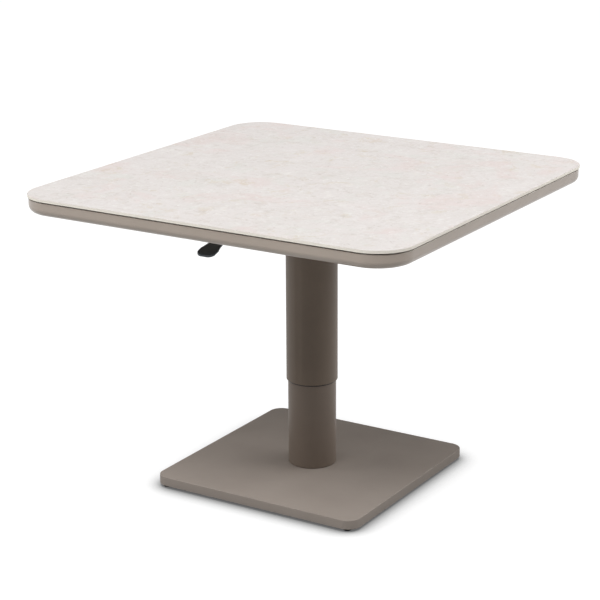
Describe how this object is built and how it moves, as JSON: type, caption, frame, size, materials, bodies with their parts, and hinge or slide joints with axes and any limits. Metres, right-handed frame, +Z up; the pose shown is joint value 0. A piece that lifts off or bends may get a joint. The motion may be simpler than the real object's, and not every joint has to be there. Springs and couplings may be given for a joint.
{
  "type": "telescoping pedestal table",
  "caption": "Square table with a stone-look slab on a round telescoping gas-lift column, square base plate and release lever.",
  "frame": {"origin": "on the floor under the middle of the column, which is the centre of the box's bottom", "axes": "+Z up; -Y towards the edge with the release lever; +X to the right when facing +Y"},
  "size_m": [0.9, 0.9, 0.674],
  "materials": {
    "base_paint": "taupe powder coat, fine texture",
    "frame_paint": "taupe powder coat, fine texture",
    "column_paint": "taupe powder coat, satin",
    "slab_stone": "matt stone-look panel with faint clouding and specks",
    "foam_tape": "closed-cell tape",
    "black_steel": "black powder coat",
    "zinc": "zinc plated",
    "foot_rubber": "black rubber",
    "guide_plastic": "acetal, as turned",
    "cylinder_black": "black lacquer",
    "chromed_rod": "ground and hard chromed",
    "brass_gland": "turned",
    "cast_head": "die cast, as cast",
    "paddle_plastic": "black satin moulding"
  },
  "bodies": {
    "base": {"base_cover": "base_paint", "ballast_plate": "black_steel", "tube_foot_flange": "black_steel", "base_washers": "zinc", "base_bolts": "zinc", "foot_pad_front_left": "foot_rubber", "foot_pad_front_right": "foot_rubber", "foot_pad_back_left": "foot_rubber", "foot_pad_back_right": "foot_rubber", "foot_stud_front_left": "zinc", "foot_stud_front_right": "zinc", "foot_stud_back_left": "zinc", "foot_stud_back_right": "zinc", "inner_tube": "column_paint", "upper_guide": "guide_plastic", "gas_cylinder": "cylinder_black", "cylinder_base": "black_steel", "stud_washer": "zinc", "stud_nut": "zinc", "gland": "brass_gland"},
    "top": {"outer_tube": "column_paint", "lower_guide": "guide_plastic", "key_rail": "guide_plastic", "gas_rod": "chromed_rod", "piston": "zinc", "rebound_buffer": "foot_rubber", "release_head": "cast_head", "head_screws": "zinc", "rod_lock_nut": "zinc", "pivot_pin": "zinc", "pivot_clips": "zinc", "head_plate": "frame_paint", "head_washers": "zinc", "head_bolts": "zinc", "rivet_nuts": "zinc", "front_bearer": "frame_paint", "rear_bearer": "frame_paint", "bearer_screws": "zinc", "edge_frame": "frame_paint", "slab_tape": "foam_tape", "bearer_pads": "foam_tape", "slab": "slab_stone"},
    "lever": {"lever_plate": "black_steel", "lever_paddle": "paddle_plastic", "paddle_rivets": "zinc"},
    "valve_pin": {"release_pin": "chromed_rod"}
  },
  "joints": [
    {"name": "column_slide", "type": "slide", "parent": "base", "child": "top", "axis": [0, 0, -1], "range_m": [0, 0.19]},
    {"name": "lever_pull", "type": "hinge", "parent": "top", "child": "lever", "pos_m": [0, -0.025, 0.618], "axis": [-1, 0, 0], "range_deg": [0, 5], "stiffness_Nm_per_rad": 12, "springref_deg": -6.88},
    {"name": "valve_pin_slide", "type": "slide", "parent": "top", "child": "valve_pin", "axis": [0, 0, -1], "range_m": [0, 0.0023]}
  ],
  "couplings": [
    {"joint": "valve_pin_slide", "follows": "lever_pull", "m_per_rad": 0.0253}
  ]
}
